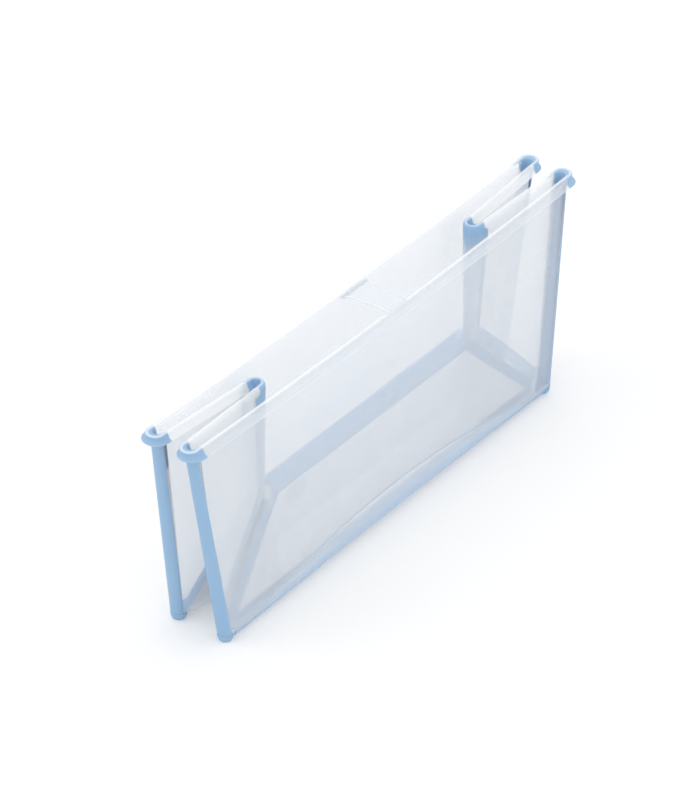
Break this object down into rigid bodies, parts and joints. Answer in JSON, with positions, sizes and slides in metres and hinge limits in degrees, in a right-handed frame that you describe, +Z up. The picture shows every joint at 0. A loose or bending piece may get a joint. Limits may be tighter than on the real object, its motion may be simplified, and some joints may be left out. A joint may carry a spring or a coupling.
{
  "type": "folding baby bath",
  "caption": "Folding baby bath folded flat and standing on its lower corners: stiff frosted panels joined by soft blue hinge strips, with a hinged closure tab and a drain plug.",
  "frame": {"origin": "ground level at the middle of the folded bath's outline", "axes": "+X along the bath, +Y towards the long wall that carries the closure tab, +Z up"},
  "size_m": [0.6088, 0.0736, 0.2415],
  "materials": {
    "frosted_panel": "satin, translucent",
    "pale_membrane": "satin, translucent",
    "blue_hinge": "satin",
    "white_pin": "smooth"
  },
  "bodies": {
    "front_edge": {"front_bottom_strip": "blue_hinge", "front_left_foot": "blue_hinge", "front_right_foot": "blue_hinge"},
    "floor_front": {"floor_front_panel": "frosted_panel", "floor_front_frame": "pale_membrane", "ridge_strip": "pale_membrane"},
    "floor_back": {"floor_back_panel": "frosted_panel", "floor_back_frame": "pale_membrane", "drain_seat": "blue_hinge"},
    "back_edge": {"back_bottom_strip": "blue_hinge", "back_left_foot": "blue_hinge", "back_right_foot": "blue_hinge"},
    "front_wall": {"front_wall_panel": "frosted_panel", "front_wall_band": "pale_membrane", "front_left_corner_strip": "blue_hinge", "front_left_corner_rim": "blue_hinge", "front_right_corner_strip": "blue_hinge", "front_right_corner_rim": "blue_hinge"},
    "back_wall": {"back_wall_panel": "frosted_panel", "back_wall_band": "pale_membrane", "back_left_corner_strip": "blue_hinge", "back_left_corner_rim": "blue_hinge", "back_right_corner_strip": "blue_hinge", "back_right_corner_rim": "blue_hinge", "tab_pin": "white_pin"},
    "front_left_end": {"front_left_end_panel": "frosted_panel", "front_left_end_membrane": "pale_membrane", "front_left_centre_hinge": "blue_hinge"},
    "front_left_gusset": {"front_left_floor_gusset": "pale_membrane"},
    "front_right_end": {"front_right_end_panel": "frosted_panel", "front_right_end_membrane": "pale_membrane", "front_right_centre_hinge": "blue_hinge"},
    "front_right_gusset": {"front_right_floor_gusset": "pale_membrane"},
    "back_left_end": {"back_left_end_panel": "frosted_panel", "back_left_end_membrane": "pale_membrane", "back_left_centre_hinge": "blue_hinge"},
    "back_left_gusset": {"back_left_floor_gusset": "pale_membrane"},
    "back_right_end": {"back_right_end_panel": "frosted_panel", "back_right_end_membrane": "pale_membrane", "back_right_centre_hinge": "blue_hinge"},
    "back_right_gusset": {"back_right_floor_gusset": "pale_membrane"},
    "closure_tab": {"closure_tab": "frosted_panel"},
    "drain_plug": {"drain_plug": "blue_hinge"}
  },
  "joints": [
    {"name": "floor_unfold", "type": "hinge", "parent": "front_edge", "child": "floor_front", "pos_m": [0, -0.0298, 0.009], "axis": [-1, 0, 0], "range_deg": [0, 80.14], "deforming": ["front_bottom_strip"]},
    {"name": "ridge_unfold", "type": "hinge", "parent": "floor_front", "child": "floor_back", "pos_m": [0, 0, 0.11039], "axis": [1, 0, 0], "range_deg": [0, 160.29], "deforming": ["ridge_strip"]},
    {"name": "back_edge_unfold", "type": "hinge", "parent": "floor_back", "child": "back_edge", "pos_m": [0, 0.0298, 0.009], "axis": [-1, 0, 0], "range_deg": [0, 80.15], "deforming": ["back_bottom_strip"]},
    {"name": "front_wall_lean", "type": "hinge", "parent": "front_edge", "child": "front_wall", "pos_m": [0, -0.0298, 0.009], "axis": [1, 0, 0], "range_deg": [0, 9.41]},
    {"name": "back_wall_unfold", "type": "hinge", "parent": "floor_back", "child": "back_wall", "pos_m": [0, 0.0298, 0.009], "axis": [-1, 0, 0], "range_deg": [0, 89.56]},
    {"name": "front_left_end_unfold", "type": "hinge", "parent": "front_wall", "child": "front_left_end", "pos_m": [-0.2561, -0.0283, 0.009], "axis": [-0.1497, 0.0351, 0.9881], "range_deg": [0, 82.01], "deforming": ["front_left_corner_strip", "front_left_corner_rim", "front_left_centre_hinge"]},
    {"name": "front_right_end_unfold", "type": "hinge", "parent": "front_wall", "child": "front_right_end", "pos_m": [0.2561, -0.0283, 0.009], "axis": [-0.1497, -0.0351, -0.9881], "range_deg": [0, 82.01], "deforming": ["front_right_corner_strip", "front_right_corner_rim", "front_right_centre_hinge"]},
    {"name": "back_left_end_unfold", "type": "hinge", "parent": "back_wall", "child": "back_left_end", "pos_m": [-0.2561, 0.0283, 0.009], "axis": [0.1497, 0.0351, -0.9881], "range_deg": [0, 82.01], "deforming": ["back_left_corner_strip", "back_left_corner_rim", "back_left_centre_hinge"]},
    {"name": "back_right_end_unfold", "type": "hinge", "parent": "back_wall", "child": "back_right_end", "pos_m": [0.2561, 0.0283, 0.009], "axis": [0.1497, -0.0351, 0.9881], "range_deg": [0, 82.01], "deforming": ["back_right_corner_strip", "back_right_corner_rim", "back_right_centre_hinge"]},
    {"name": "front_left_gusset_unfold", "type": "hinge", "parent": "floor_front", "child": "front_left_gusset", "pos_m": [-0.2561, -0.0231, 0.00784], "axis": [0.6882, 0.1242, 0.7148], "range_deg": [0, 179.01]},
    {"name": "front_right_gusset_unfold", "type": "hinge", "parent": "floor_front", "child": "front_right_gusset", "pos_m": [0.2561, -0.0231, 0.00784], "axis": [0.6882, -0.1242, -0.7148], "range_deg": [0, 179.01]},
    {"name": "back_left_gusset_unfold", "type": "hinge", "parent": "floor_back", "child": "back_left_gusset", "pos_m": [-0.2561, 0.0231, 0.00784], "axis": [-0.6882, 0.1242, -0.7148], "range_deg": [0, 179.01]},
    {"name": "back_right_gusset_unfold", "type": "hinge", "parent": "floor_back", "child": "back_right_gusset", "pos_m": [0.2561, 0.0231, 0.00784], "axis": [-0.6882, -0.1242, 0.7148], "range_deg": [0, 179.01]},
    {"name": "tab_swing", "type": "hinge", "parent": "back_wall", "child": "closure_tab", "pos_m": [0.01, 0.02199, 0.2355], "axis": [-1, 0, 0], "range_deg": [0, 115]},
    {"name": "plug_pull", "type": "slide", "parent": "floor_back", "child": "drain_plug", "axis": [0, 0.9852, 0.1712], "range_m": [0, 0.006]}
  ],
  "couplings": [
    {"joint": "ridge_unfold", "follows": "floor_unfold", "ratio": 2},
    {"joint": "back_edge_unfold", "follows": "floor_unfold", "ratio": 1},
    {"joint": "front_wall_lean", "follows": "floor_unfold", "ratio": 0.11735},
    {"joint": "back_wall_unfold", "follows": "floor_unfold", "ratio": 1.1173},
    {"joint": "front_left_end_unfold", "follows": "floor_unfold", "ratio": 1.0232},
    {"joint": "front_right_end_unfold", "follows": "floor_unfold", "ratio": 1.0232},
    {"joint": "back_left_end_unfold", "follows": "floor_unfold", "ratio": 1.0232},
    {"joint": "back_right_end_unfold", "follows": "floor_unfold", "ratio": 1.0232},
    {"joint": "front_left_gusset_unfold", "follows": "floor_unfold", "ratio": 2.2335},
    {"joint": "front_right_gusset_unfold", "follows": "floor_unfold", "ratio": 2.2335},
    {"joint": "back_left_gusset_unfold", "follows": "floor_unfold", "ratio": 2.2335},
    {"joint": "back_right_gusset_unfold", "follows": "floor_unfold", "ratio": 2.2335}
  ]
}
